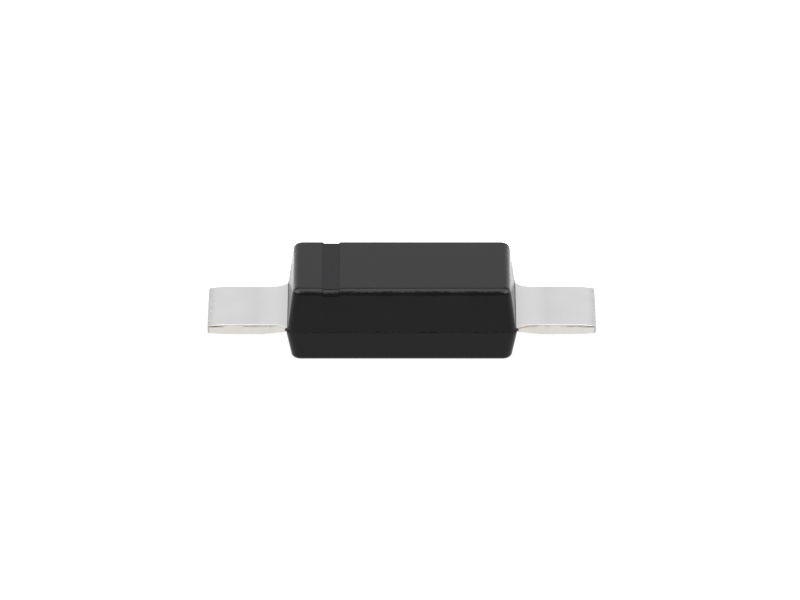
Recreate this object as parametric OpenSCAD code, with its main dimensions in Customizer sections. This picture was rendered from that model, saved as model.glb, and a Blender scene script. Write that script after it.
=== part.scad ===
// Two-lead surface-mount diode: a moulded body on straight flat leads.
// X runs along the leads with the cathode at -X, Y runs across the body and Z is up.
// The origin is the middle of the body's underside. Sizes are in millimetres.

/* [Moulded body] */
// Length of the body at the parting line
body_length = 2.71; // [2.50:0.01:3.00]
// Width of the body at the parting line
body_width = 1.61; // [1.50:0.01:1.80]
// Height of the upper mould half, above the parting line
upper_height = 0.52; // [0.46:0.005:0.70]
// Height of the lower mould half, below the parting line
lower_height = 0.375; // [0.30:0.005:0.50]
// Draft of the upper half: how far its top edge stands in from the parting line
upper_setback = 0.06; // [0.04:0.005:0.12]
// Draft of the lower half: how far its bottom edge stands in from the parting line
lower_setback = 0.06; // [0.03:0.005:0.10]
// Ledge of the lower half, which stands out past the upper half along the parting line
parting_step = 0.005; // [0.003:0.001:0.015]
// Height of the upright land along the parting line
parting_land = 0.005; // [0.003:0.001:0.008]
// Radius of the four upright corners
corner_radius = 0.11; // [0.11:0.005:0.15]
// Radius of the edges round the top face
top_edge_radius = 0.085; // [0.02:0.005:0.10]
// Radius of the edges round the underside
bottom_edge_radius = 0.065; // [0.02:0.005:0.08]

/* [Marks on the body] */
// Distance from the body's cathode end to the middle of the cathode groove
groove_from_end = 0.526; // [0.40:0.002:0.70]
// Width of the cathode groove's floor
groove_width = 0.177; // [0.10:0.001:0.25]
// Depth of the cathode groove
groove_depth = 0.016; // [0.010:0.002:0.030]
// Diameter of the ejector pin's mark in the underside
ejector_diameter = 0.50; // [0.30:0.05:0.80]
// Depth of the ejector pin's mark
ejector_depth = 0.015; // [0.010:0.005:0.030]

/* [Leads] */
// Distance between the two lead tips
lead_span = 4.55; // [4.20:0.05:5.00]
// Width of each lead outside the body
lead_width = 1.11; // [0.90:0.01:1.20]
// Thickness of the copper strip that both leads are stamped from
strip_thickness = 0.112; // [0.08:0.002:0.15]
// How far the strip's upper face lies below the parting line
strip_depth = 0.007; // [0.002:0.001:0.020]
// Thickness of the tin on the bare stretch of each lead
tin_thickness = 0.008; // [0.005:0.001:0.012]
// Widening of the lead on each side where it leaves the body
root_flare = 0.10; // [0.05:0.01:0.12]
// Radius of that widening
root_radius = 0.18; // [0.13:0.01:0.30]
// Radius of the lead tip's corners, seen from above
tip_radius = 0.035; // [0.02:0.005:0.08]
// Radius of the lead's rolled edges
rolled_radius = 0.014; // [0.010:0.002:0.034]

/* [Strip inside the body] */
// Moulding left beside the strip on each side of the body
side_cover = 0.14; // [0.11:0.01:0.20]
// Gap between the cathode pad and the anode post
strip_gap = 0.25; // [0.20:0.01:0.35]
// Length of the anode post inside the body
post_length = 0.65; // [0.60:0.01:0.80]
// Corner radius of the pad and the post
pad_corner = 0.05; // [0.02:0.01:0.10]
// Radius of the notches that lock the strip in the moulding
lock_radius = 0.12; // [0.08:0.01:0.16]
// Distance from the body's end to the middle of those notches
lock_from_end = 0.24; // [0.20:0.01:0.28]

/* [Chip and solder] */
// Side of the square chip
chip_size = 1.00; // [0.75:0.05:1.05]
// Thickness of the chip
chip_thickness = 0.20; // [0.15:0.01:0.25]
// Distance from the chip to the pad's inner end
chip_margin = 0.10; // [0.08:0.01:0.14]
// Thickness of each layer of solder
solder_thickness = 0.025; // [0.015:0.005:0.040]
// How far the solder runs out past what it holds
solder_margin = 0.03; // [0.01:0.01:0.05]

/* [Contact clip] */
// Width of the clip
clip_width = 0.70; // [0.50:0.05:0.80]
// Thickness of the clip
clip_thickness = 0.10; // [0.08:0.01:0.12]
// Margin of the clip round the boss that meets the chip
boss_margin = 0.05; // [0.02:0.01:0.08]
// Height of the boss
boss_height = 0.03; // [0.02:0.005:0.05]
// Distance from the chip's edge to the clip's first bend
bend_clearance = 0.05; // [0.02:0.01:0.08]
// Length of the clip's foot on the anode post
foot_length = 0.28; // [0.20:0.01:0.32]
// Distance from the post's inner end to the foot
foot_inset = 0.06; // [0.05:0.01:0.10]

/* [Hidden] */

$fn = 64;
// Facets of the rounded corners that are blended into the two mould halves
blend_fn = 32;
// Points along each bend of the clip
bend_steps = 12;
// Overlap that carries a cut clear of the surface it leaves by
run_out = 0.2;
// How far the groove's rounded ends pass the body's sides, so that they run out on them cleanly
groove_run_out = 0.003;

// Heights
parting_z = lower_height;
strip_z = parting_z - strip_depth;
top_z = lower_height + upper_height;
chip_z = strip_z + solder_thickness;
boss_z = chip_z + chip_thickness + solder_thickness;
bridge_z = boss_z + boss_height;
foot_z = strip_z + solder_thickness;

// Lengths along X, from the anode post inwards
post_x = body_length / 2 - post_length;
pad_x = post_x - strip_gap;
chip_x = pad_x - chip_margin - chip_size / 2;
bend_x = pad_x - chip_margin + bend_clearance;
foot_x = post_x + foot_inset;

// Widths
pad_width = body_width - 2 * side_cover;
boss_size = clip_width - 2 * boss_margin;

// The bare lead, with its tin
lead_thickness = strip_thickness + 2 * tin_thickness;
lead_bottom_z = strip_z - strip_thickness - tin_thickness;
root_length = sqrt(pow(root_radius, 2) - pow(root_radius - root_flare, 2));

// The two equal bends that take the clip down from the chip to the post
bend_run = foot_x - bend_x;
bend_drop = bridge_z - foot_z;
bend_angle = 2 * atan(bend_drop / bend_run);
bend_radius = bend_run / (2 * sin(bend_angle));

// Shared shapes

// A rectangle about the origin with round corners
module rounded_rectangle(length, width, radius) {
    square([length - 2 * radius, width], center = true);
    square([length, width - 2 * radius], center = true);
    for (x = [-1, 1], y = [-1, 1])
        translate([x * (length / 2 - radius), y * (width / 2 - radius)])
            circle(radius);
}

// Copies of a shape at the four upright corners of a block
module at_corners(length, width) {
    for (x = [-1, 1], y = [-1, 1])
        translate([x * (length / 2 - corner_radius), y * (width / 2 - corner_radius), 0])
            children();
}

// A disc with a quarter-round upper rim, for a corner of the body
module corner_button(rim_radius) {
    rotate_extrude($fn = blend_fn) {
        square([corner_radius - rim_radius, rim_radius]);
        translate([corner_radius - rim_radius, 0])
            intersection() {
                circle(rim_radius, $fn = blend_fn);
                square(rim_radius);
            }
    }
}

// One mould half, standing on the parting plane and drafted to a rounded rim
module mould_half(length, width, height, setback, rim_radius) {
    hull() {
        at_corners(length, width)
            cylinder(r = corner_radius, h = parting_land, $fn = blend_fn);
        translate([0, 0, height - rim_radius])
            at_corners(length - 2 * setback, width - 2 * setback)
                corner_button(rim_radius);
    }
}

// The outside of the moulding, without its marks
module outer_form() {
    translate([0, 0, parting_z]) {
        mould_half(body_length - 2 * parting_step, body_width - 2 * parting_step,
                   upper_height, upper_setback, top_edge_radius);
        mirror([0, 0, 1])
            mould_half(body_length, body_width,
                       lower_height, lower_setback, bottom_edge_radius);
    }
}

// The cut for the cathode groove: everything above a lowered copy of the body's rounded top
module groove_cut() {
    groove_x = groove_from_end - body_length / 2;
    floor_z = top_z - groove_depth;
    rim_z = floor_z - top_edge_radius;
    draft = upper_setback / (upper_height - top_edge_radius - parting_land);
    rim_y = body_width / 2 - parting_step - upper_setback + groove_depth * draft + groove_run_out;
    low_z = rim_z - top_edge_radius;
    high_z = top_z + groove_depth;
    half_floor = groove_width / 2;
    half_mouth = half_floor + high_z - floor_z;

    intersection() {
        // Sloping walls, seen along Y
        rotate([90, 0, 0])
            translate([groove_x, 0, -body_width / 2])
                linear_extrude(body_width)
                    polygon([
                        [-half_floor, low_z], [half_floor, low_z], [half_floor, floor_z],
                        [half_mouth, high_z], [-half_mouth, high_z], [-half_floor, floor_z]
                    ]);
        // Floor with rounded ends, seen along X
        rotate([90, 0, 90])
            translate([0, 0, groove_x - half_mouth])
                linear_extrude(2 * half_mouth)
                    difference() {
                        translate([-body_width / 2, rim_z])
                            square([body_width, high_z - rim_z]);
                        translate([-rim_y + top_edge_radius, rim_z])
                            square([2 * (rim_y - top_edge_radius), top_edge_radius]);
                        for (y = [-1, 1])
                            translate([y * (rim_y - top_edge_radius), rim_z])
                                circle(top_edge_radius);
                    }
    }
}

// The round mark that the ejector pin leaves
module ejector_cut() {
    translate([0, 0, -run_out])
        cylinder(d = ejector_diameter, h = ejector_depth + run_out);
}

// Leads, drawn at the anode's end and mirrored for the cathode

// The copper strip inside the body, from its inner end at inner_x out through the body's end
module strip_core(inner_x) {
    outer_x = body_length / 2 + run_out;
    translate([0, 0, strip_z - strip_thickness])
        linear_extrude(strip_thickness)
            difference() {
                translate([(inner_x + outer_x) / 2, 0])
                    rounded_rectangle(outer_x - inner_x, pad_width, pad_corner);
                for (y = [-1, 1])
                    translate([body_length / 2 - lock_from_end, y * pad_width / 2])
                        circle(lock_radius);
            }
}

// The bare, tinned stretch with rolled edges and round tip corners
module bare_strip() {
    translate([0, 0, lead_bottom_z + lead_thickness / 2])
        intersection() {
            rotate([90, 0, 90])
                linear_extrude(lead_span / 2)
                    rounded_rectangle(lead_width, lead_thickness, rolled_radius);
            translate([0, 0, -lead_thickness / 2])
                linear_extrude(lead_thickness)
                    rounded_rectangle(lead_span, lead_width, tip_radius);
            translate([0, lead_width / 2, 0])
                rotate([90, 0, 0])
                    linear_extrude(lead_width)
                        rounded_rectangle(lead_span, lead_thickness, rolled_radius);
        }
}

// The widened root against the body's end
module lead_root() {
    inside_x = body_length / 2 - run_out;
    start_x = body_length / 2 + root_length;
    translate([0, 0, lead_bottom_z])
        linear_extrude(lead_thickness)
            difference() {
                translate([inside_x, -lead_width / 2 - root_flare])
                    square([start_x - inside_x, lead_width + 2 * root_flare]);
                for (y = [-1, 1])
                    translate([start_x, y * (lead_width / 2 + root_radius)])
                        circle(root_radius);
            }
}

// One whole lead: tinned outside the body, bare copper inside it
module lead(inner_x) {
    difference() {
        union() {
            bare_strip();
            lead_root();
        }
        outer_form();
    }
    intersection() {
        strip_core(inner_x);
        outer_form();
    }
}

// Sub-parts

module moulded_body() {
    color("#262628")
        difference() {
            outer_form();
            groove_cut();
            ejector_cut();
            strip_core(post_x);
            mirror([1, 0, 0])
                strip_core(-pad_x);
            chip_solder();
            diode_chip();
            clip_solder();
            contact_clip();
            foot_solder();
        }
}

module cathode_lead() {
    color("#d3d3d4")
        mirror([1, 0, 0])
            lead(-pad_x);
}

module anode_lead() {
    color("#d3d3d4")
        lead(post_x);
}

module diode_chip() {
    color("#5a6070")
        translate([chip_x, 0, chip_z])
            linear_extrude(chip_thickness)
                square(chip_size, center = true);
}

// A slab of solder with round corners on a given spot
module solder_slab(x, z, length, width) {
    translate([x, 0, z])
        linear_extrude(solder_thickness)
            rounded_rectangle(length + 2 * solder_margin, width + 2 * solder_margin, solder_margin);
}

module chip_solder() {
    color("#9a9ca0")
        solder_slab(chip_x, strip_z, chip_size, chip_size);
}

module clip_solder() {
    color("#9a9ca0")
        solder_slab(chip_x, chip_z + chip_thickness, boss_size, boss_size);
}

module foot_solder() {
    color("#9a9ca0")
        solder_slab(foot_x + foot_length / 2, strip_z, foot_length, clip_width);
}

// Points on an arc about a centre, from one angle to another
function arc(centre, radius, from, to) =
    [for (i = [0:bend_steps])
        let (angle = from + (to - from) * i / bend_steps)
        centre + radius * [cos(angle), sin(angle)]];

// One face of the bent clip, at a height above the middle of its thickness
function clip_face(offset) =
    concat(
        [[chip_x - clip_width / 2, bridge_z + clip_thickness / 2 + offset]],
        arc([bend_x, bridge_z + clip_thickness / 2 - bend_radius], bend_radius + offset, 90, 90 - bend_angle),
        arc([foot_x, foot_z + clip_thickness / 2 + bend_radius], bend_radius - offset, 270 - bend_angle, 270),
        [[foot_x + foot_length, foot_z + clip_thickness / 2 + offset]]
    );

function reversed(points) = [for (i = [len(points) - 1:-1:0]) points[i]];

module contact_clip() {
    color("#b87333") {
        translate([0, clip_width / 2, 0])
            rotate([90, 0, 0])
                linear_extrude(clip_width)
                    polygon(concat(clip_face(clip_thickness / 2), reversed(clip_face(-clip_thickness / 2))));
        translate([chip_x, 0, boss_z])
            linear_extrude(boss_height + clip_thickness / 2)
                square(boss_size, center = true);
    }
}

moulded_body();
cathode_lead();
anode_lead();
diode_chip();
chip_solder();
contact_clip();
clip_solder();
foot_solder();
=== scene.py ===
# %% [markdown]
# # A flat-lead diode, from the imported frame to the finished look
# The object is a surface-mount diode about four and a half millimetres long: a black moulded body on two
# straight tinned leads, with a shallow groove across the top that marks the cathode's end.
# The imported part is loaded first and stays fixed. Its body and leads are then modelled again with finer
# edges, in the same places. The pieces hidden inside keep their solids and only get finishes.

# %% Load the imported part
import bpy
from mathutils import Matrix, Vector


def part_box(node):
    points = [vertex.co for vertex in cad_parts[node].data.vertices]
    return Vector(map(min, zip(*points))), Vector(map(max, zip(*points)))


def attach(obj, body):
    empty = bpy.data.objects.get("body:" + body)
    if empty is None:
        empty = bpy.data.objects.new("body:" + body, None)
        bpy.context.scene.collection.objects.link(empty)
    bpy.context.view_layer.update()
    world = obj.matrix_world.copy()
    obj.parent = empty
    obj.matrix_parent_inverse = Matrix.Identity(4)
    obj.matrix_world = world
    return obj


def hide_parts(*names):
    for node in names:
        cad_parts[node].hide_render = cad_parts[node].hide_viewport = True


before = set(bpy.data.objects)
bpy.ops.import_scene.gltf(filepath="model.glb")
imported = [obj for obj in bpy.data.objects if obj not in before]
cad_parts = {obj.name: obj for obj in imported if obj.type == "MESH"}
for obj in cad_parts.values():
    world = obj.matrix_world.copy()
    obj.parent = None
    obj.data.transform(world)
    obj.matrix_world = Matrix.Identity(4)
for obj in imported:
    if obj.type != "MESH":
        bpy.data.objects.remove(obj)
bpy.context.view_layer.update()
print("nodes:", ", ".join(sorted(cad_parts)))

# %% [markdown]
# ## A bench a thousand times life size
# Blender's bevel and merge tools take points closer than about a thousandth of a millimetre for one, and
# this body has a step of only five thousandths. One could model in metres and fight those limits, or model
# large and shrink. Here each piece is made on a bench where one Blender unit is one millimetre, at its own
# place, and the last thing done to it is to shrink its mesh into metres.

# %% Set up the bench
import bpy

# Bench units to the metre, and how close on the bench two places count as one
BENCH, SAME_PLACE = 1000, 1e-4


def clear_bench():
    """Leave edit mode and deselect everything, so that the next operator acts on one piece only"""
    if bpy.context.object and bpy.context.object.mode == "EDIT":
        bpy.ops.object.mode_set(mode="OBJECT")
    bpy.ops.object.select_all(action="DESELECT")


clear_bench()
print("bench units to the metre:", BENCH, "and pieces selected:", len(bpy.context.selected_objects))

# %% [markdown]
# ## The lower half of the body
# The real body is epoxy, pressed round the leads in a mould of two halves. Each half is drafted so that the
# part lets go. The body could be a Boolean of two tapered boxes. Box modelling is closer to the mould: a
# rounded block for the lower half, whose underside is drawn in, and later extrusions for the upper half.
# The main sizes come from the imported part's boxes, and the fine ones are named here.

# %% Sizes of the body
import math

body_low, body_high = (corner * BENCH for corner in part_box("moulded_body"))
lead_low, lead_high = (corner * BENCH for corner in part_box("anode_lead"))
length, width, top_z = body_high.x - body_low.x, body_high.y - body_low.y, body_high.z
# Thickness of the tin, and how deep the copper strip's top lies under the parting line
tin, strip_depth = 0.008, 0.007
strip_z = lead_high.z - tin
parting_z = strip_z + strip_depth
parting_land = 0.005
corner_radius, top_radius, bottom_radius = 0.11, 0.085, 0.065
upper_setback, lower_setback = 0.06, 0.06


def draft_of(height, setback, rim_radius):
    """Slope of a mould half's walls, and how far its unrounded rim stands in"""
    slope = setback / (height - rim_radius - parting_land)
    return slope, slope * (height - parting_land)


lower_slope, lower_inset = draft_of(parting_z, lower_setback, bottom_radius)
upper_slope, upper_inset = draft_of(top_z - parting_z, upper_setback, top_radius)
print(f"body {length:.3f} x {width:.3f} x {top_z:.3f} mm, parting line at {parting_z:.3f}")
print("drafts, degrees:", [round(math.degrees(math.atan(s)), 1) for s in (lower_slope, upper_slope)])


# %% Start the lower half as a block
def name_piece(name):
    """Name the primitive that was just added, and put its place and size into its mesh"""
    piece = bpy.context.object
    piece.name = piece.data.name = name
    bpy.ops.object.transform_apply(location=True, rotation=True, scale=True)
    return piece


def block(name, low, high):
    """A box between two corners, as the start of a piece"""
    clear_bench()
    bpy.ops.mesh.primitive_cube_add(
        size=1,
        location=[(a + b) / 2 for a, b in zip(low, high)],
        scale=[b - a for a, b in zip(low, high)],
    )
    return name_piece(name)


body = block(
    "moulded_epoxy_body",
    (-length / 2, -width / 2, 0),
    (length / 2, width / 2, parting_z - parting_land),
)
print(body.name, "starts as a block of", len(body.data.polygons), "faces")

# %% Round its upright corners
import bmesh


def choose(kind, rule=lambda item: True):
    """In edit mode, select the vertices, edges or faces that a rule picks, and count them"""
    bpy.ops.mesh.select_mode(type=kind)
    bpy.ops.mesh.select_all(action="DESELECT")
    mesh = bpy.context.edit_object.data
    shape = bmesh.from_edit_mesh(mesh)
    items = {"VERT": shape.verts, "EDGE": shape.edges, "FACE": shape.faces}[kind]
    picked = [item for item in items if rule(item)]
    for item in picked:
        item.select_set(True)
    shape.select_flush_mode()
    bmesh.update_edit_mesh(mesh)
    return len(picked)


def climbs(edge, height):
    """Whether an edge goes up by more than a height"""
    return abs(edge.verts[0].co.z - edge.verts[1].co.z) > height


def round_off(radius, segments, kind="EDGES"):
    """Bevel the selected edges, or the selected vertices of a flat sheet, into arcs"""
    bpy.ops.mesh.bevel(offset=radius, segments=segments, profile=0.5, affect=kind, clamp_overlap=False)


bpy.ops.object.mode_set(mode="EDIT")
print("upright edges:", choose("EDGE", lambda edge: climbs(edge, parting_z / 2)))
round_off(corner_radius, segments=8)

# %% Draft the lower half
# A face looks along an axis when more than this share of its normal does
FACING = 0.9


def grow(x, y, z=1.0):
    """Scale what is selected about the middle of the part"""
    bpy.ops.transform.resize(value=(x, y, z), center_override=(0, 0, 0))


choose("FACE", lambda face: face.normal.z < -FACING)
grow(1 - 2 * lower_inset / length, 1 - 2 * lower_inset / width)
print(f"underside drawn in by {lower_inset:.4f} mm on each side")

# %% [markdown]
# ## The parting line and the upper half
# Where the mould's halves meet, the upper one steps in and leaves a ledge, so fine along the sides that it
# shows only as a line. At the ends the halves don't sit quite square: the ledge is wider at the corners near
# the camera and dies away towards the far ones.
# Lofting between drawn outlines would do. Extruding the top face in steps is simpler, and it keeps the
# corner arcs matched point for point from the ledge to the top.


# %% Step in at the parting line and rise to the top
def extrude(step):
    """Extrude what is selected along a step"""
    bpy.ops.mesh.extrude_region_move(TRANSFORM_OT_translate={"value": step})


side_step, end_step, steeper_end = 0.005, 0.0195, 0.0075
upper_length, upper_width = length - 2 * end_step, width - 2 * side_step
end_inset = upper_inset - steeper_end
choose("FACE", lambda face: face.normal.z > FACING)
extrude((0, 0, parting_land))
extrude((0, 0, 0))
grow(upper_length / length, upper_width / width)
extrude((0, 0, parting_land))
extrude((0, 0, top_z - parting_z - parting_land))
grow(1 - 2 * end_inset / upper_length, 1 - 2 * upper_inset / upper_width)
print(f"ledge {side_step} mm wide along the sides and {end_step} mm at the ends")


# %% Let the ledge die away towards the far corners
def of_lower_half(vert):
    """Whether a point belongs to the lower half, up to the outer edge of the ledge"""
    around = [vert] + [edge.other_vert(vert) for edge in vert.link_edges]
    return any(point.co.z < parting_z - SAME_PLACE for point in around)


print("far corner points:", choose("VERT", lambda vert: vert.co.y > 0 and of_lower_half(vert)))
grow(1 - 2 * (end_step - side_step) / length, 1)

# %% [markdown]
# ## The rims
# The edges of the mould's hollows are rounded, so that the epoxy fills them and the part lets go. A Bevel
# modifier would round every sharp edge alike. Two bevels in edit mode give the top and the underside a
# radius each, with an offset that allows for the draft.


# %% Round the two rims
def at_level(edge, level):
    """Whether an edge lies at a height all along"""
    return all(abs(vert.co.z - level) < SAME_PLACE for vert in edge.verts)


def rim_offset(slope, radius):
    """Bevel offset that gives a radius on an edge between a drafted wall and a flat face"""
    return radius * math.tan((math.pi / 2 - math.atan(slope)) / 2)


for level, slope, radius in ((top_z, upper_slope, top_radius), (0, lower_slope, bottom_radius)):
    print("rim edges:", choose("EDGE", lambda edge: at_level(edge, level)))
    round_off(rim_offset(slope, radius), segments=8)
bpy.ops.object.mode_set(mode="OBJECT")


# %% Measure the blank body
def tell(piece):
    """Print what a piece measures, and whether its mesh is closed"""
    shape = bmesh.new()
    shape.from_mesh(piece.data)
    reach = [[vert.co[axis] for vert in shape.verts] for axis in range(3)]
    size = [round(max(places) - min(places), 4) for places in reach]
    open_edges = sum(1 for edge in shape.edges if not edge.is_manifold)
    print(f"{piece.name}: {size} mm, volume {shape.calc_volume():.5f}")
    print(f"    {len(shape.faces)} faces, {open_edges} open edges")
    shape.free()


tell(body)

# %% [markdown]
# ## The cathode groove
# A bar on the mould's top half leaves a shallow groove across the body, which tells the cathode from the
# anode. A Boolean with a bar would cut the rim flat, but in the mould the groove follows the rounded edge.
# So the body is scored along the groove's four lines, and the strip between the inner two, rim and all,
# is pushed straight down.

# %% Press the groove
# How close a point lies to a cutting plane, or to another point, when the two are made one
SNAP = 1e-5


def cut(axis, place):
    """Score the whole piece along a plane across an axis"""
    choose("FACE")
    where, facing = [0, 0, 0], [0, 0, 0]
    where["XYZ".index(axis)], facing["XYZ".index(axis)] = place, 1
    bpy.ops.mesh.bisect(plane_co=where, plane_no=facing, threshold=SNAP)


groove_from_end, groove_half, groove_depth = 0.526, 0.0885, 0.016
groove_x, rim_z = body_low.x + groove_from_end, top_z - top_radius


def in_groove(vert):
    """Whether a point lies between the groove's inner lines, on the top or its rim"""
    return abs(vert.co.x - groove_x) < groove_half + SAME_PLACE and vert.co.z > rim_z


bpy.ops.object.mode_set(mode="EDIT")
for offset in (-groove_half - groove_depth, -groove_half, groove_half, groove_half + groove_depth):
    cut("X", groove_x + offset)
print("groove points:", choose("VERT", in_groove))
bpy.ops.transform.translate(value=(0, 0, -groove_depth))
bpy.ops.object.mode_set(mode="OBJECT")

# %% [markdown]
# ## The ejector mark
# Under the body, the pin that pushes it out of the mould leaves a shallow round mark. It could be inset in
# the underside's face, but a round tool gives a true circle whatever the faces round it are. The tool is a
# short cylinder with a bevelled rim, and a Boolean carves with it.


# %% Carve the ejector mark
def pick_up(piece):
    """Make one piece the only selected and active one"""
    clear_bench()
    piece.select_set(True)
    bpy.context.view_layer.objects.active = piece


def carve(piece, tool, how="DIFFERENCE", keep=False):
    """Cut one piece with another, or fuse them, by an applied Boolean"""
    pick_up(piece)
    boolean = piece.modifiers.new("carve", "BOOLEAN")
    boolean.operation, boolean.solver, boolean.object = how, "EXACT", tool
    bpy.ops.object.modifier_apply(modifier=boolean.name)
    if not keep:
        bpy.data.objects.remove(tool)


ejector_radius, ejector_depth, ejector_rim = 0.25, 0.015, 0.006
clear_bench()
bpy.ops.mesh.primitive_cylinder_add(
    vertices=64, radius=ejector_radius, depth=4 * ejector_depth, location=(0, 0, -ejector_depth)
)
pin = name_piece("ejector_pin")
bpy.ops.object.mode_set(mode="EDIT")
choose("EDGE", lambda edge: at_level(edge, ejector_depth))
round_off(ejector_rim, segments=3)
bpy.ops.object.mode_set(mode="OBJECT")
carve(body, pin)
tell(body)

# %% [markdown]
# ## The flash
# Where the leads come out, the epoxy creeps a little into the joint: a thin bead lies along each root, with
# a speck beside it at the near corner. Bump in the finish couldn't show against the white background, so
# both are shapes. Each is modelled once as a block, copied for either end and fused to the body.

# %% Shape the speck beside the root
sunk = 0.03
speck_reach, speck_sides, speck_foot, speck_top = 0.012, (-0.725, -0.638), 0.021, 0.010
speck_tip, speck_rounding = (1, 0.45, 0.35), 0.003
speck = block(
    "speck",
    (length / 2 - sunk, speck_sides[0], parting_z - speck_foot),
    (length / 2 + speck_reach, speck_sides[1], parting_z + speck_top),
)
bpy.ops.object.mode_set(mode="EDIT")
choose("FACE", lambda face: face.normal.x > FACING)
bpy.ops.transform.resize(value=speck_tip)
print("edges of the speck:", choose("EDGE"))
round_off(speck_rounding, segments=2)


# %% Shape the bead along the root
def middle(edge):
    """Middle of an edge"""
    return (edge.verts[0].co + edge.verts[1].co) / 2


bead_back, bead_half, bead_foot, bead_top, bead_lean = 0.009, 0.63, 0.01, 0.02, 0.0135
bead_x = length / 2 - bead_back
root_bead = block(
    "root_bead",
    (length / 2 - sunk, -bead_half, parting_z - bead_foot),
    (bead_x, bead_half, parting_z + bead_top),
)


def outer_top(edge):
    """Whether an edge is the bead's upper outer one"""
    return middle(edge).x > bead_x - SAME_PLACE and middle(edge).z > parting_z + bead_top - SAME_PLACE


bpy.ops.object.mode_set(mode="EDIT")
print("edges of the bead that lean in:", choose("EDGE", outer_top))
bpy.ops.transform.translate(value=(-bead_lean, 0, 0))
bpy.ops.object.mode_set(mode="OBJECT")


# %% Fuse the flash to both ends
def copy_to(piece, end):
    """A copy of a piece with its own mesh, left at its end (1) or mirrored to the other (-1)"""
    pick_up(piece)
    bpy.ops.object.duplicate(linked=False)
    bpy.ops.object.mode_set(mode="EDIT")
    choose("FACE")
    grow(end, 1)
    bpy.ops.mesh.normals_make_consistent(inside=False)
    bpy.ops.object.mode_set(mode="OBJECT")
    return bpy.context.object


for lump in (speck, root_bead):
    for end in (1, -1):
        carve(body, copy_to(lump, end), "UNION")
    bpy.data.objects.remove(lump)
tell(body)

# %% [markdown]
# ## The leads
# Both leads are stamped from one copper strip and tinned outside the body. Each widens in an arc where it
# leaves the body, and the press rolls its edges round. The outline is drawn first as a flat sheet, with its
# arcs as bevelled corners, and then gets the strip's thickness. One could fill a curve instead, but a sheet
# with bevelled corners keeps each radius as one number.

# %% Draw the flared outline of the outer lead
lead_half, root_flare, root_radius, tip_radius = 0.555, 0.10, 0.18, 0.035
root_x, tip_x, hidden = length / 2, lead_high.x, 0.05
root_length = math.sqrt(root_radius**2 - (root_radius - root_flare) ** 2)
tangent = root_flare * root_radius / root_length
corner_x = root_x + root_length - tangent
clear_bench()
bpy.ops.mesh.primitive_plane_add(size=1, location=((corner_x + tip_x) / 2, 0, lead_low.z))
bpy.ops.transform.resize(value=(tip_x - corner_x, 2 * lead_half, 1))
anode = name_piece("tinned_anode_lead")


def across_corner(edge):
    """Whether an edge crosses the lead where its flare begins"""
    return abs(middle(edge).x - corner_x) < SAME_PLACE and abs(middle(edge).y) < SAME_PLACE


bpy.ops.object.mode_set(mode="EDIT")
choose("EDGE", across_corner)
extrude((root_x - corner_x, 0, 0))
grow(1, 1 + root_flare / lead_half)
extrude((-hidden, 0, 0))
print("edges dissolved across the sheet:", choose("EDGE", across_corner))
bpy.ops.mesh.dissolve_edges(use_verts=False)

# %% Round the outline's corners
# The arc stops a little short of the root's own point, and the two are merged afterwards
arc_gap, merge_gap = 2e-4, 1e-3
for place, radius in ((corner_x, tangent - arc_gap), (tip_x, tip_radius)):
    choose("VERT", lambda vert: abs(vert.co.x - place) < SAME_PLACE)
    round_off(radius, segments=8, kind="VERTICES")
choose("VERT")
bpy.ops.mesh.remove_doubles(threshold=merge_gap)
print(f"lead outline from {root_x:.3f} to {tip_x:.3f} mm, root arc {root_length:.4f} mm long")

# %% Give it thickness and rolled edges
rolled_radius = 0.014
thickness = lead_high.z - lead_low.z
choose("FACE")
extrude((0, 0, thickness))
choose("FACE")
bpy.ops.mesh.normals_make_consistent(inside=False)


def at_rim(edge):
    """Whether an edge lies between a flat face and a side, outside the lead's inner end"""
    tops = [abs(face.normal.z) for face in edge.link_faces]
    return max(tops) > FACING and min(tops) < 1 - FACING and middle(edge).x > root_x - hidden + SAME_PLACE


print("rim edges:", choose("EDGE", at_rim))
round_off(rolled_radius, segments=6)
bpy.ops.object.mode_set(mode="OBJECT")
tell(anode)

# %% [markdown]
# ## Press marks on the lead
# A stamped strip isn't a perfect bar. Where the tie bars were cut away, the underside of each root is
# sheared off at a slant, and at the tip the punch drags the corners a little.
# The slant could be a Boolean with a wedge, but one plane cut that keeps one side does it. The corners are
# pulled with proportional editing, with the other face hidden so that it stays put.

# %% Shear the underside of the root
slant_low, slant_high, slant_run = 0.475, 0.355, 0.30
slant_width, slant_height = lead_half + root_flare - slant_low, slant_high - lead_low.z
lean = (lead_half - slant_low) / slant_run
bpy.ops.object.mode_set(mode="EDIT")
for side in (-1, 1):
    choose("FACE")
    bpy.ops.mesh.bisect(
        plane_co=(root_x, side * slant_low, lead_low.z),
        plane_no=(-lean * slant_height, side * slant_height, -slant_width),
        use_fill=True,
        clear_outer=True,
        threshold=SNAP,
    )
bpy.ops.object.mode_set(mode="OBJECT")
tell(anode)

# %% Score the tip, so that its corners can bend
bpy.ops.object.mode_set(mode="EDIT")
for back in (0.04, 0.075, 0.11, 0.15, 0.20):
    cut("X", tip_x - back)
for side in (-1, 1):
    for back in (0.04, 0.075, 0.12):
        cut("Y", side * (lead_half - back))
print("points of the scored lead:", choose("VERT"))

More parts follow.
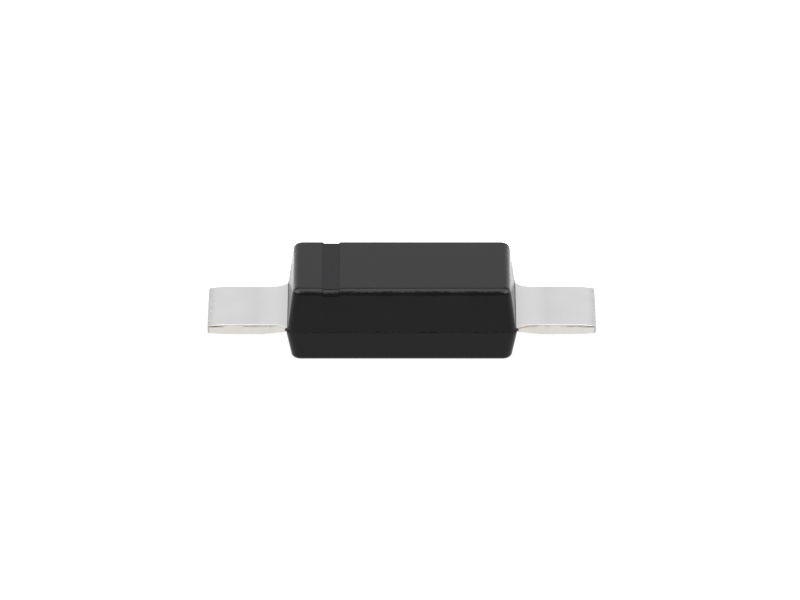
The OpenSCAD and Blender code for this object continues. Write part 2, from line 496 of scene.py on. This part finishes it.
# %% Drag the tip's corners
mid_z = (lead_low.z + lead_high.z) / 2
corner_inset, corner_reach, bend_reach = 0.01, 0.016, 0.16
top_drop, under_lift = -0.016, 0.010
for side, shift in ((1, top_drop), (-1, under_lift)):
    choose("VERT", lambda vert: (vert.co.z - mid_z) * side < 0)
    bpy.ops.mesh.hide(unselected=False)
    for end in (-1, 1):
        corner = (tip_x - corner_inset, end * (lead_half - corner_inset))
        choose("VERT", lambda vert: not vert.hide and math.dist(vert.co.xy, corner) < corner_reach)
        bpy.ops.transform.translate(
            value=(0, 0, shift),
            use_proportional_edit=True,
            proportional_edit_falloff="SMOOTH",
            proportional_size=bend_reach,
        )
    bpy.ops.mesh.reveal(select=False)
bpy.ops.object.mode_set(mode="OBJECT")
tell(anode)

# %% [markdown]
# ## The cathode's lead and the strip inside the body
# The cathode's lead is the anode's, mirrored. Inside the body the same strip goes on as bare copper: a long
# pad that carries the chip at the cathode's end, a short post at the anode's. Round notches in their sides
# lock them in the epoxy. The whole lead could be drawn as one outline, but the outer stretch is thicker by
# its tin, so each lead gets its own inner strip, fused to it just under the body's skin.

# %% Mirror the outer lead for the cathode
cathode = copy_to(anode, -1)
cathode.name = cathode.data.name = "tinned_cathode_lead"
tell(cathode)

# %% Add the inner strips
pad_half, pad_corner = width / 2 - 0.14, 0.05
lock_radius, lock_x = 0.12, root_x - 0.24
strip_end = root_x - 0.045


def inner_strip(side, inner_x):
    """The copper strip from its inner end to just under the body's skin, with rounded inner corners"""
    low_x, high_x = sorted((inner_x, side * strip_end))
    strip = block("strip", (low_x, -pad_half, lead_low.z + tin), (high_x, pad_half, strip_z))
    bpy.ops.object.mode_set(mode="EDIT")
    choose("EDGE", lambda edge: climbs(edge, thickness / 2) and abs(middle(edge).x - inner_x) < SAME_PLACE)
    round_off(pad_corner, segments=6)
    bpy.ops.object.mode_set(mode="OBJECT")
    return strip


def notch(strip, x, y):
    """Carve a round lock notch that goes right through a strip"""
    clear_bench()
    bpy.ops.mesh.primitive_cylinder_add(vertices=48, radius=lock_radius, depth=1, location=(x, y, mid_z))
    carve(strip, name_piece("lock_notch"))


for lead, side, node in ((anode, 1, "anode_lead"), (cathode, -1, "cathode_lead")):
    low, high = (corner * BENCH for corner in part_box(node))
    strip = inner_strip(side, low.x if side > 0 else high.x)
    for y in (-pad_half, pad_half):
        notch(strip, side * lock_x, y)
    carve(lead, strip, "UNION")
    tell(lead)

# %% [markdown]
# ## Room inside the body
# The epoxy flows round everything inside, so the body is hollow exactly where the leads, the chip, the
# clip and the solder are. The body could stay a solid lump, since nobody sees in, but then the pieces would
# sit in the same place as the epoxy. Copies of the inner solids carve their own rooms.

# %% Carve the rooms
for lead in (anode, cathode):
    carve(body, lead, keep=True)
inner_nodes = ("chip_solder", "diode_chip", "clip_solder", "contact_clip", "foot_solder")
for node in inner_nodes:
    room = bpy.data.objects.new("room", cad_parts[node].data.copy())
    bpy.context.scene.collection.objects.link(room)
    pick_up(room)
    bpy.ops.object.mode_set(mode="EDIT")
    choose("VERT")
    grow(BENCH, BENCH, BENCH)
    choose("VERT")
    bpy.ops.mesh.remove_doubles(threshold=SAME_PLACE)
    bpy.ops.object.mode_set(mode="OBJECT")
    carve(body, room)
tell(body)

# %% [markdown]
# ## Shade and shrink
# A real moulding goes from flat to round without a seam. Shading everything smooth would be quicker, but it
# smears light over the flat faces. So only edges softer than a set angle are shaded smooth, and weighted
# normals keep the large faces flat up to their rounded rims. Both are done on the bench, where the faces are
# large enough to be told apart by area. Then the three meshes shrink into metres and leave it.

# %% Take the pieces off the bench
smooth_angle = math.radians(26)
for piece in (body, anode, cathode):
    pick_up(piece)
    bpy.ops.object.mode_set(mode="EDIT")
    choose("VERT")
    bpy.ops.mesh.remove_doubles(threshold=SNAP)
    bpy.ops.object.mode_set(mode="OBJECT")
    bpy.ops.object.shade_smooth_by_angle(angle=smooth_angle)
    weighted = piece.modifiers.new("flat faces", "WEIGHTED_NORMAL")
    weighted.keep_sharp = True
    bpy.ops.object.modifier_apply(modifier=weighted.name)
    bpy.ops.object.mode_set(mode="EDIT")
    choose("VERT")
    grow(1 / BENCH, 1 / BENCH, 1 / BENCH)
    bpy.ops.object.mode_set(mode="OBJECT")
    print(piece.name, "triangles:", sum(len(face.vertices) - 2 for face in piece.data.polygons))

# %% [markdown]
# ## Copper, silicon and solder
# The pieces inside have three finishes: rolled copper, sawn silicon and soft solder. Nobody sees them in
# the closed part, but they show as soon as it is opened up. A plain colour each would do for a diagram.
# Here every finish is a Principled shader fed by noise in the piece's own coordinates, which are turned
# into millimetres first so that a grain size can be read off as a number.


# %% A finish that knows its places in millimetres
def new_finish(name, **sockets):
    """A Principled material with plain values, and a node that gives places in millimetres"""
    finish = bpy.data.materials.new(name)
    finish.use_nodes = True
    nodes, links = finish.node_tree.nodes, finish.node_tree.links
    shader = nodes["Principled BSDF"]
    for socket, value in sockets.items():
        shader.inputs[socket.replace("_", " ")].default_value = value
    place = nodes.new("ShaderNodeTexCoord")
    in_mm = nodes.new("ShaderNodeVectorMath")
    in_mm.operation = "SCALE"
    in_mm.inputs["Scale"].default_value = BENCH
    links.new(place.outputs["Object"], in_mm.inputs[0])
    return finish, shader, in_mm.outputs[0]


def noise(finish, place, grain, detail=2, stretch=(1, 1, 1)):
    """Noise whose grains are about so many millimetres across"""
    nodes, links = finish.node_tree.nodes, finish.node_tree.links
    mapping = nodes.new("ShaderNodeMapping")
    mapping.inputs["Scale"].default_value = stretch
    texture = nodes.new("ShaderNodeTexNoise")
    texture.inputs["Scale"].default_value = 1 / grain
    texture.inputs["Detail"].default_value = detail
    links.new(place, mapping.inputs["Vector"])
    links.new(mapping.outputs["Vector"], texture.inputs["Vector"])
    return texture.outputs["Fac"]


print("finishes read places in units of", 1 / BENCH, "m")


# %% Turn a noise into numbers, colours and bumps
# The stretch that nearly all values of a noise lie in
NOISE_RANGE = (0.3, 0.7)


def spread(finish, value, to, over=NOISE_RANGE, smooth=False):
    """Spread the stretch of a value between two numbers over a range, and hold it beyond them"""
    ranged = finish.node_tree.nodes.new("ShaderNodeMapRange")
    ranged.interpolation_type = "SMOOTHSTEP" if smooth else "LINEAR"
    for socket, number in zip(("From Min", "From Max", "To Min", "To Max"), (*over, *to)):
        ranged.inputs[socket].default_value = number
    finish.node_tree.links.new(value, ranged.inputs["Value"])
    return ranged.outputs["Result"]


def blend(finish, share, one, two):
    """Go from one colour to another, where either is plain or comes from a node"""
    mix = finish.node_tree.nodes.new("ShaderNodeMix")
    mix.data_type = "RGBA"
    for socket, colour in ((mix.inputs[6], one), (mix.inputs[7], two)):
        if isinstance(colour, tuple):
            socket.default_value = (*colour, 1)
        else:
            finish.node_tree.links.new(colour, socket)
    finish.node_tree.links.new(share, mix.inputs[0])
    return mix.outputs[2]


def feed(finish, shader, colour, roughness, layers):
    """Link colour and roughness to a shader, with bumps from layers of (height, microns)"""
    nodes, links = finish.node_tree.nodes, finish.node_tree.links
    links.new(colour, shader.inputs["Base Color"])
    links.new(roughness, shader.inputs["Roughness"])
    before = None
    for height, microns in layers:
        bump = nodes.new("ShaderNodeBump")
        bump.inputs["Distance"].default_value = microns * 1e-6
        links.new(height, bump.inputs["Height"])
        if before:
            links.new(before, bump.inputs["Normal"])
        before = bump.outputs["Normal"]
    links.new(before, shader.inputs["Normal"])
    print(finish.name, "has", len(nodes), "nodes")


print("a noise is spread from", NOISE_RANGE[0], "to", NOISE_RANGE[1])


# %% Make the three inner finishes
def grained_finish(name, metallic, pattern, colours, roughness, microns):
    """A finish whose colour, gloss and relief all follow one noise, given as grain, detail and stretch"""
    finish, shader, place = new_finish(name, Metallic=metallic)
    grain = noise(finish, place, *pattern)
    colour = blend(finish, spread(finish, grain, to=(0, 1)), *colours)
    feed(finish, shader, colour, spread(finish, grain, to=roughness), [(grain, microns)])
    return finish


copper = grained_finish(
    "rolled_copper",
    metallic=1.0,
    pattern=(0.04, 3, (0.1, 1, 1)),
    colours=((0.62, 0.26, 0.13), (0.80, 0.42, 0.25)),
    roughness=(0.30, 0.45),
    microns=0.5,
)
silicon = grained_finish(
    "sawn_silicon",
    metallic=0.4,
    pattern=(0.01, 2, (1, 1, 0.05)),
    colours=((0.055, 0.060, 0.080), (0.10, 0.11, 0.14)),
    roughness=(0.18, 0.34),
    microns=0.3,
)
solder = grained_finish(
    "soft_solder",
    metallic=1.0,
    pattern=(0.03, 4),
    colours=((0.30, 0.30, 0.31), (0.48, 0.48, 0.49)),
    roughness=(0.35, 0.55),
    microns=1.0,
)

# %% [markdown]
# ## The moulding compound
# The body is black epoxy, filled with fine silica. It is satin all over, a little uneven along the rims,
# with a painted highlight on each top corner, and it carries a broken line of flash at the parting line.
# Marks like these could be painted on a texture. Masks worked out from the place on the body keep them
# sharp at any size, and each mask is a height or a distance in millimetres.


# %% Masks from places
def math_node(finish, operation, *values):
    """One step of arithmetic on sockets and plain numbers"""
    step = finish.node_tree.nodes.new("ShaderNodeMath")
    step.operation = operation
    for socket, value in zip(step.inputs, values):
        if isinstance(value, (int, float)):
            socket.default_value = value
        else:
            finish.node_tree.links.new(value, socket)
    return step.outputs[0]


def along(finish, place, axis):
    """How far along an axis a point lies"""
    parts = finish.node_tree.nodes.new("ShaderNodeSeparateXYZ")
    finish.node_tree.links.new(place, parts.inputs[0])
    return parts.outputs[axis]


def away_from(finish, place, axis, level):
    """How far a point lies to either side of a level on an axis"""
    offset = math_node(finish, "SUBTRACT", along(finish, place, axis), level)
    return math_node(finish, "ABSOLUTE", offset)


def bead(finish, place, level, reach):
    """One at a height, falling off to nought above and below it"""
    return spread(finish, away_from(finish, place, "Z", level), over=(0, reach), to=(1, 0))


print(f"masks use the parting line at {parting_z:.3f} mm and the top at {top_z:.3f} mm")


# %% Marks on the epoxy, and a painted highlight on its corners
def flash_line(epoxy, place):
    """A ragged line at the parting line, fading out away from the middle"""
    ragged = spread(epoxy, noise(epoxy, place, grain=0.09, detail=3), over=(0.50, 0.66), to=(0, 1))
    from_middle = spread(epoxy, away_from(epoxy, place, "X", 0.3), over=(0.5, 0.9), to=(1, 0.3))
    line = math_node(epoxy, "MULTIPLY", bead(epoxy, place, parting_z + 0.004, reach=0.015), ragged)
    return math_node(epoxy, "MULTIPLY", line, from_middle)


def worn_rim(epoxy, place):
    """Dents along the top rim, above and below its surface alike"""
    scuff = math_node(epoxy, "SUBTRACT", noise(epoxy, place, grain=0.07, detail=3), 0.5)
    return math_node(epoxy, "MULTIPLY", bead(epoxy, place, top_z - 0.04, reach=0.038), scuff)


def painted_corner_highlight(epoxy, place):
    """A painted highlight: a small lighter spot on each top corner of the epoxy"""
    end, side = length / 2, width / 2
    at_end = spread(epoxy, away_from(epoxy, place, "X", 0), over=(end - 0.165, end - 0.135), to=(0, 1))
    at_side = spread(epoxy, away_from(epoxy, place, "Y", 0), over=(side - 0.165, side - 0.115), to=(0, 1))
    corner = math_node(epoxy, "MULTIPLY", at_end, at_side)
    return math_node(epoxy, "MULTIPLY", corner, bead(epoxy, place, top_z - 0.034, reach=0.022))


# Grey of the painted highlight on the top corners, and the flash's height
corner_highlight_grey, flash_microns = (0.065, 0.065, 0.065), 4.0
print("height of the flash, microns:", flash_microns)


# %% Make the epoxy's four finishes
def moulded_finish(name, gloss, colours, roughness, wear):
    """Black epoxy: filler grains, soft clouds of gloss, the marks above, a painted corner highlight, wear in
    microns
    """
    epoxy, shader, place = new_finish(name, Specular_IOR_Level=gloss)
    filler = spread(epoxy, noise(epoxy, place, grain=0.02, detail=3), to=(0, 1))
    cloud = spread(epoxy, noise(epoxy, place, grain=0.5), to=roughness)
    colour = blend(epoxy, filler, *colours)
    # Painted highlight: the top corners are lightened towards grey
    colour = blend(epoxy, painted_corner_highlight(epoxy, place), colour, corner_highlight_grey)
    pores = noise(epoxy, place, grain=0.018, detail=4)
    spark_marks = noise(epoxy, place, grain=0.06)
    marks = [(flash_line(epoxy, place), flash_microns), (worn_rim(epoxy, place), wear)]
    feed(epoxy, shader, colour, cloud, [(pores, 0.2), (spark_marks, 0.15), *marks])
    return epoxy


epoxy = moulded_finish(
    "black_moulding_compound",
    gloss=0.216,
    colours=((0.0030, 0.0030, 0.0031), (0.0048, 0.0048, 0.0049)),
    roughness=(0.23, 0.28),
    wear=14.0,
)
groove_epoxy = moulded_finish(
    "groove_moulding_compound",
    gloss=0.12,
    colours=((0.0045, 0.0045, 0.0057), (0.0065, 0.0065, 0.0080)),
    roughness=(0.25, 0.31),
    wear=0,
)
wall_epoxy = moulded_finish(
    "groove_wall_compound",
    gloss=0.10,
    colours=((0.0045, 0.0045, 0.0050), (0.0060, 0.0060, 0.0065)),
    roughness=(0.25, 0.31),
    wear=0,
)
# The real flash bead gets no gloss, so it stays dark: painted shade for the shadow in the joint at each root
flash_shade_epoxy = moulded_finish(
    "flash_compound_painted_shade",
    gloss=0,
    colours=((0.0055, 0.0050, 0.0040), (0.0090, 0.0082, 0.0070)),
    roughness=(0.55, 0.65),
    wear=0,
)

# %% [markdown]
# ## The tin plating
# The leads' flat faces are matte tin, nearly as dull as paint, with faint rolling streaks along the strip.
# They are painted a little brighter towards the root, a painted light that offsets the body's shade and its
# dark reflection there, and rubbed darker at the very tip. A mirror-like metal would be the easy choice, but
# it turns white or black with the view, and matte tin hardly changes.

# %% Make the matte tin
tin_plate, shader, place = new_finish("matte_tin_plating", Metallic=0.2, Specular_IOR_Level=0.2)
patch = spread(tin_plate, noise(tin_plate, place, grain=0.35, detail=3), to=(0, 1))
far_out = away_from(tin_plate, place, "X", 0)
# Painted light: the tin is lightened near the root, where the body shades it and darkens its reflection
root_painted_light = spread(tin_plate, far_out, over=(root_x, root_x + 0.35), to=(1, 0))
tip_share = math_node(
    tin_plate,
    "MULTIPLY",
    spread(tin_plate, far_out, over=(tip_x - 0.09, tip_x - 0.01), to=(0, 1)),
    spread(tin_plate, noise(tin_plate, place, grain=0.05, detail=3), to=(0.2, 1)),
)
colour = blend(tin_plate, patch, (0.426, 0.426, 0.424), (0.439, 0.440, 0.443))
colour = blend(tin_plate, root_painted_light, colour, (0.615, 0.616, 0.615))
colour = blend(tin_plate, tip_share, colour, (0.325, 0.325, 0.329))
dullness = spread(tin_plate, patch, over=(0, 1), to=(0.47, 0.51))
crystals = noise(tin_plate, place, grain=0.012, detail=3)
streaks = noise(tin_plate, place, grain=0.05, detail=3, stretch=(0.12, 1, 1))
feed(tin_plate, shader, colour, dullness, [(crystals, 0.4), (streaks, 0.15)])

# %% [markdown]
# ## The sheared edge
# The punch smears tin over the sides of the strip and leaves a warmer, rougher face there. Under the rolled
# edge runs a thin brown line where the cut began, broken along its length and torn wider near the tip.
# It could be a groove in the mesh, but it is finer than the rolled edge's own faces, so it is a mask at a
# height, in colour and in relief.

# %% Place the shear line
sheared_tin, shader, place = new_finish("sheared_tin_edge", Metallic=1.0)
far_out = away_from(sheared_tin, place, "X", 0)
# Where the rolled edge lies; it is rougher there, and its darker tone below is painted shade
rolled_share = bead(sheared_tin, place, lead_high.z, reach=1.6 * rolled_radius)
shear_level = lead_high.z - rolled_radius - 0.008
broken = spread(sheared_tin, noise(sheared_tin, place, grain=0.10, detail=3), over=(0.40, 0.60), to=(0, 1))
shear_line = math_node(sheared_tin, "MULTIPLY", bead(sheared_tin, place, shear_level, reach=0.012), broken)
near_tip = spread(sheared_tin, far_out, over=(tip_x - 0.20, tip_x - 0.10), to=(0, 1))
torn = bead(sheared_tin, place, shear_level - 0.006, reach=0.014)
torn_line = math_node(sheared_tin, "MULTIPLY", torn, near_tip)
tip_share = spread(sheared_tin, far_out, over=(tip_x - 0.03, tip_x - 0.008), to=(0, 1))
print(f"shear line at {shear_level:.3f} mm, the lead's top at {lead_high.z:.3f}")

# %% Make the sheared edge
patch = spread(sheared_tin, noise(sheared_tin, place, grain=0.12, detail=3), to=(0, 1))
colour = blend(sheared_tin, patch, (0.72, 0.70, 0.65), (0.81, 0.80, 0.76))
# The rolled edge's darker tone is painted shade, dimming the soft box's highlight along it
for share, tone in (
    (rolled_share, (0.62, 0.62, 0.62)),
    (shear_line, (0.47, 0.40, 0.35)),
    (torn_line, (0.28, 0.24, 0.21)),
    (tip_share, (0.48, 0.47, 0.46)),
):
    colour = blend(sheared_tin, share, colour, tone)
dullness = math_node(
    sheared_tin,
    "MAXIMUM",
    spread(sheared_tin, patch, over=(0, 1), to=(0.45, 0.60)),
    spread(sheared_tin, rolled_share, over=(0, 0.5), to=(0.4, 0.7)),
)
grit = noise(sheared_tin, place, grain=0.02, detail=3)
tears = noise(sheared_tin, place, grain=0.05, detail=3, stretch=(1, 1, 0.3))
hollow = math_node(sheared_tin, "SUBTRACT", 1, shear_line)
feed(sheared_tin, shader, colour, dullness, [(grit, 1.0), (tears, 2.5), (hollow, 3.0)])

# %% [markdown]
# ## Which face gets which finish
# On the real part one surface runs into the next without a seam: the groove's floor is duller than the skin,
# and the leads are tin outside the body and copper within. One could select faces by hand. A short rule on
# a face's place and normal does the same, and still holds when a size changes.

# %% Rules for the faces
floor_band = 0.004
flash_back, flash_height, flash_half, flash_slope = 0.024, 0.022, 0.645, 0.25
rolled_slope = 0.95


def body_finish(face):
    """0 for the skin, 1 for the groove's floor, 2 for its sloping walls, 3 for the flash at the roots,
    glossless as painted shade
    """
    x, y, z = face.center * BENCH
    away = abs(x - groove_x)
    if away < groove_half + groove_depth and z > rim_z - groove_depth:
        if away > groove_half:
            return 2
        return int(z > top_z - groove_depth - floor_band)
    at_end = abs(x) > length / 2 - flash_back and abs(y) < flash_half
    at_root = at_end and abs(z - parting_z) < flash_height
    return 3 if at_root and face.normal.z > flash_slope else 0


def lead_finish(face):
    """0 for the rolled faces, 1 for the sheared sides, 2 for the bare copper inside the body"""
    if abs(face.center.x) * BENCH < strip_end + SAME_PLACE:
        return 2
    return int(abs(face.normal.z) < rolled_slope)


print("faces on the groove's floor:", sum(body_finish(face) == 1 for face in body.data.polygons))

# %% Put the finishes on
for piece, finishes, rule in (
    (body, (epoxy, groove_epoxy, wall_epoxy, flash_shade_epoxy), body_finish),
    (anode, (tin_plate, sheared_tin, copper), lead_finish),
    (cathode, (tin_plate, sheared_tin, copper), lead_finish),
):
    piece.data.materials.clear()
    for finish in finishes:
        piece.data.materials.append(finish)
    for face in piece.data.polygons:
        face.material_index = rule(face)
    print(piece.name, "wears", [finish.name for finish in finishes])
for node, finish in zip(inner_nodes, (solder, silicon, solder, copper, solder)):
    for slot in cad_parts[node].material_slots:
        slot.material = finish
    print(node, "wears", finish.name)

# %% [markdown]
# ## Back on the frame
# Each modelled piece takes the place of the solid that it was modelled on, which is hidden, and moves with
# the part's one body. The solids could be moved aside instead, but then the frame would no longer be the
# imported one.

# %% Hang the pieces on the frame
for piece, node, slot in (
    (body, "moulded_body", "moulding_compound"),
    (anode, "anode_lead", "tinned_copper"),
    (cathode, "cathode_lead", "tinned_copper"),
):
    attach(piece, "root")
    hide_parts(node)
    print(piece.name, "stands for", node)

# %% [markdown]
# ## The studio
# Small parts are photographed for a catalogue on a white light table under a wide soft box. The table here
# glows, most of all just behind the part, and dims towards the front, so that shadows stay faint and the
# body's ends are lit from behind. A plain white floor under a lamp would be simpler, but it would leave the
# ends dark. The table lies a hair below the part, so that the two don't share a plane.

# %% Light table
table_size, table_gap = 2, 2e-6
clear_bench()
bpy.ops.mesh.primitive_plane_add(size=table_size, location=(0, 0, -table_gap))
floor = name_piece("light_table")
glow, shader, place = new_finish(
    "light_table",
    Base_Color=(0.05, 0.05, 0.05, 1),
    Roughness=0.9,
    Specular_IOR_Level=0,
    Emission_Color=(1, 1, 1, 1),
)
# How strongly the table glows, by millimetres behind the part's middle, or in front of it if negative
far_side = spread(glow, along(glow, place, "Y"), over=(0.8, 1.6), to=(1.0, 1.35))
bright_strip = spread(glow, away_from(glow, place, "Y", 2.8), over=(0.2, 0.7), to=(1.4, 0))
front = spread(glow, along(glow, place, "Y"), over=(-40, -9), to=(0.45, 1.0))
strength = math_node(glow, "MULTIPLY", math_node(glow, "ADD", far_side, bright_strip), front)
glow.node_tree.links.new(strength, shader.inputs["Emission Strength"])
floor.data.materials.append(glow)
print("light table", table_size, "m wide, glowing with", len(glow.node_tree.nodes), "nodes")

# %% [markdown]
# ## The light
# The walls of the room are a soft even grey in front and brighter behind, brightest near the horizon, where
# the top face and the leads mirror them. One lamp, the soft box, hangs overhead and draws the bright line
# along the near rim. Lamps on every side would be plainer, but each would add a reflection of its own.

# %% Walls of the room
front_wall, horizon, upper_wall = 0.35, 1.05, 0.57
world = bpy.data.worlds.new("studio")
bpy.context.scene.world = world
world.use_nodes = True
nodes, links = world.node_tree.nodes, world.node_tree.links
direction = nodes.new("ShaderNodeTexCoord").outputs["Generated"]
to_back = spread(world, along(world, direction, "Y"), over=(0.0, 0.5), to=(0, 1), smooth=True)
back_wall = spread(world, along(world, direction, "Z"), over=(0, 0.45), to=(horizon, upper_wall), smooth=True)
walls = nodes.new("ShaderNodeMix")
links.new(to_back, walls.inputs[0])
walls.inputs[2].default_value = front_wall
links.new(back_wall, walls.inputs[3])
links.new(walls.outputs[0], nodes["Background"].inputs["Strength"])
nodes["Background"].inputs["Color"].default_value = (1, 1, 1, 1)
print("walls:", front_wall, "in front,", horizon, "to", upper_wall, "behind")

# %% Soft box
soft_box = bpy.data.lights.new("soft_box", "AREA")
soft_box.shape, soft_box.size, soft_box.size_y, soft_box.energy = "RECTANGLE", 0.70, 0.24, 1.75
lamp = bpy.data.objects.new("soft_box", soft_box)
bpy.context.scene.collection.objects.link(lamp)
lamp.location = (0, 0, 0.25)
print("soft box of", soft_box.energy, "W at", lamp.location.z, "m")

# %% [markdown]
# ## The camera
# The part is seen square on from its long side and from a little above. A long lens from far off keeps the
# lines almost parallel, as in a catalogue picture. A nearer camera with a short lens would frame the same
# size, but it would splay the leads.

# %% Camera
from mathutils import Vector

elevation, distance = math.radians(24.0), 0.120
aim = Vector((-0.0000201, 0, 0.0004443))
camera = bpy.data.objects.new("camera", bpy.data.cameras.new("camera"))
bpy.context.scene.collection.objects.link(camera)
camera.data.sensor_width, camera.data.lens, camera.data.clip_start = 36, 459.2, 0.001
camera.location = aim + distance * Vector((0, -math.cos(elevation), math.sin(elevation)))
camera.rotation_euler = (math.pi / 2 - elevation, 0, 0)
bpy.context.scene.camera = camera
bpy.context.scene.view_settings.view_transform = "Standard"
print(f"camera {distance} m off, {math.degrees(elevation):.0f} degrees up, lens {camera.data.lens:.1f} mm")
